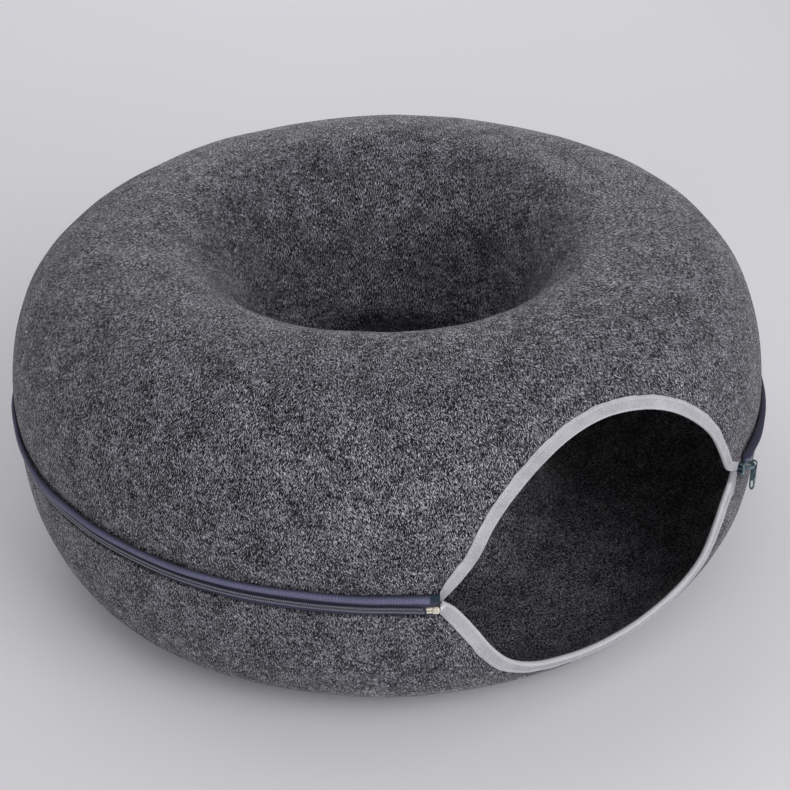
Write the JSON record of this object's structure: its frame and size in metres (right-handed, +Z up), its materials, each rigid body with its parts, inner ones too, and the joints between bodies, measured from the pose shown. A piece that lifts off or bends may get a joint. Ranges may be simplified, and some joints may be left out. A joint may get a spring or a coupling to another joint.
{
  "type": "felt cat tunnel bed",
  "caption": "Low ring-shaped tunnel of grey moulded felt, open through its middle, with one eye-shaped mouth edged in ribbon and a zip round its waist.",
  "frame": {"origin": "on the floor, in the middle of the bed's footprint", "axes": "+Z up, and the mouth faces -Y, so the ring's axis stands upright 6 mm towards -Y from the origin"},
  "size_m": [0.5988, 0.5866, 0.2535],
  "materials": {
    "felt": "heathered dark grey needled felt",
    "ribbon": "light silver-grey ribbed binding tape",
    "zip_cloth": "slate-blue woven zip tape",
    "coil": "blue-grey nylon coil",
    "stop": "cream nylon",
    "zip_metal": "gunmetal lacquer, satin"
  },
  "bodies": {
    "root": {"upper_shell": "felt", "lower_shell": "felt", "mouth_ribbon_upper": "ribbon", "mouth_ribbon_lower": "ribbon", "zip_tape_upper": "zip_cloth", "zip_tape_lower": "zip_cloth", "zip_coil": "coil", "zip_stop": "stop", "zip_slider": "zip_metal", "zip_pull": "zip_metal"}
  },
  "joints": []
}
